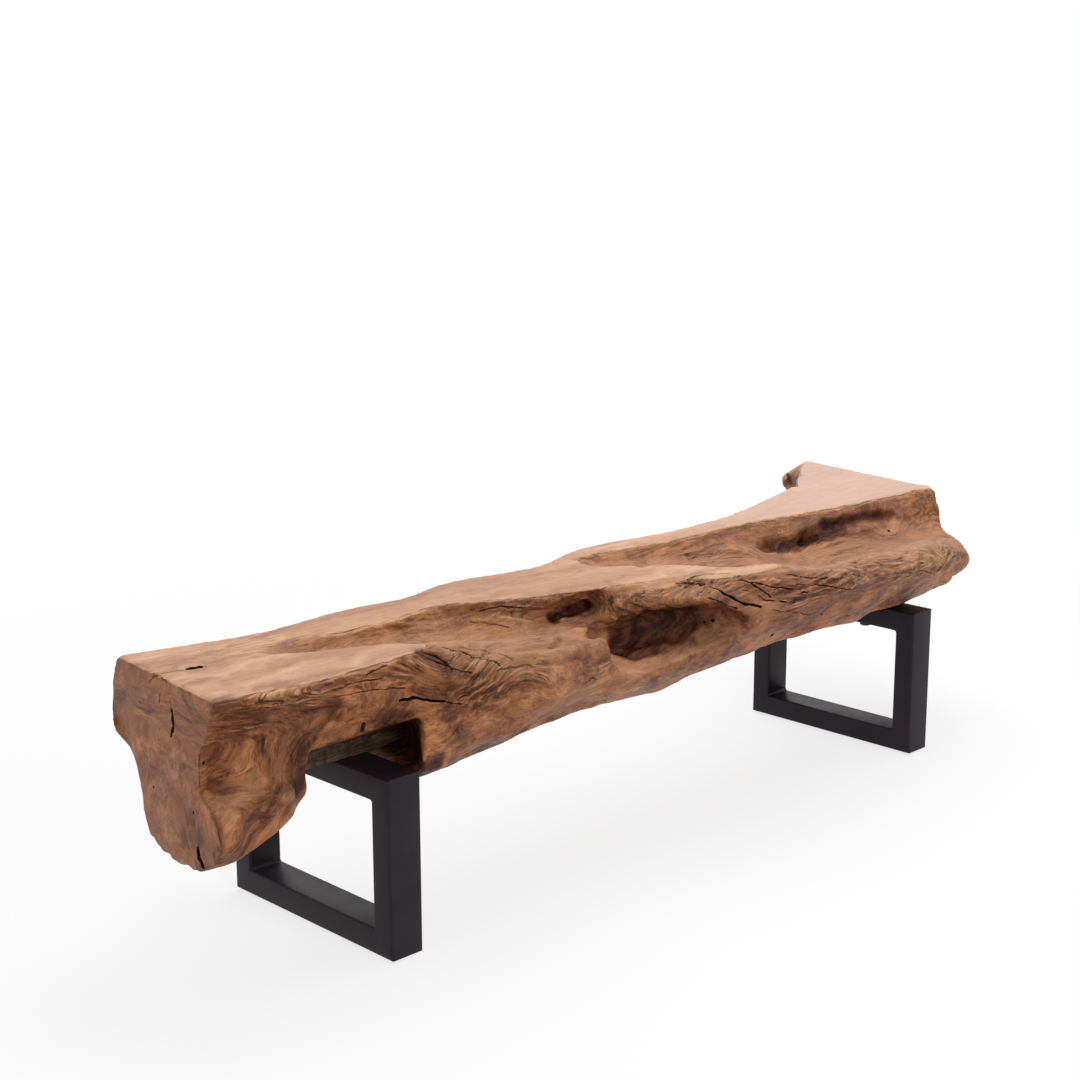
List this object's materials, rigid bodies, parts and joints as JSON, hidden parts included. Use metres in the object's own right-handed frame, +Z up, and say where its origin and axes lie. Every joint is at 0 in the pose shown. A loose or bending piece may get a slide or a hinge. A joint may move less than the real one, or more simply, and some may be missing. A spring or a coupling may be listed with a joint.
{
  "type": "log bench",
  "caption": "Bench with a live-edge log seat, sanded on top and hollowed along the front, on two black box-section loop frames.",
  "frame": {"origin": "middle of the bench's bounding box on the floor", "axes": "+X along the log to the right as the picture shows it, +Y to the back, +Z up"},
  "size_m": [1.9581, 0.6625, 0.45],
  "materials": {
    "teak": "satin",
    "weathered_wood": "matte",
    "black_frame": "satin",
    "zinc_steel": "satin",
    "black_plastic": "matte"
  },
  "bodies": {
    "bench": {"log": "teak", "packer_stick": "weathered_wood", "left_front_post": "black_frame", "left_bottom_rail": "black_frame", "left_rear_post": "black_frame", "left_top_rail": "black_frame", "right_front_post": "black_frame", "right_bottom_rail": "black_frame", "right_rear_post": "black_frame", "right_top_rail": "black_frame", "weld_beads": "black_frame", "rivet_nuts": "zinc_steel", "coach_screws": "zinc_steel", "washers": "zinc_steel"},
    "front_left_glide": {"front_left_glide_disc": "black_plastic", "front_left_glide_stem": "zinc_steel"},
    "rear_left_glide": {"rear_left_glide_disc": "black_plastic", "rear_left_glide_stem": "zinc_steel"},
    "front_right_glide": {"front_right_glide_disc": "black_plastic", "front_right_glide_stem": "zinc_steel"},
    "rear_right_glide": {"rear_right_glide_disc": "black_plastic", "rear_right_glide_stem": "zinc_steel"}
  },
  "joints": [
    {"name": "front_left_glide_screw", "type": "slide", "parent": "bench", "child": "front_left_glide", "axis": [0, 0, -1], "range_m": [0, 0.01]},
    {"name": "rear_left_glide_screw", "type": "slide", "parent": "bench", "child": "rear_left_glide", "axis": [0, 0, -1], "range_m": [0, 0.01]},
    {"name": "front_right_glide_screw", "type": "slide", "parent": "bench", "child": "front_right_glide", "axis": [0, 0, -1], "range_m": [0, 0.01]},
    {"name": "rear_right_glide_screw", "type": "slide", "parent": "bench", "child": "rear_right_glide", "axis": [0, 0, -1], "range_m": [0, 0.01]}
  ]
}
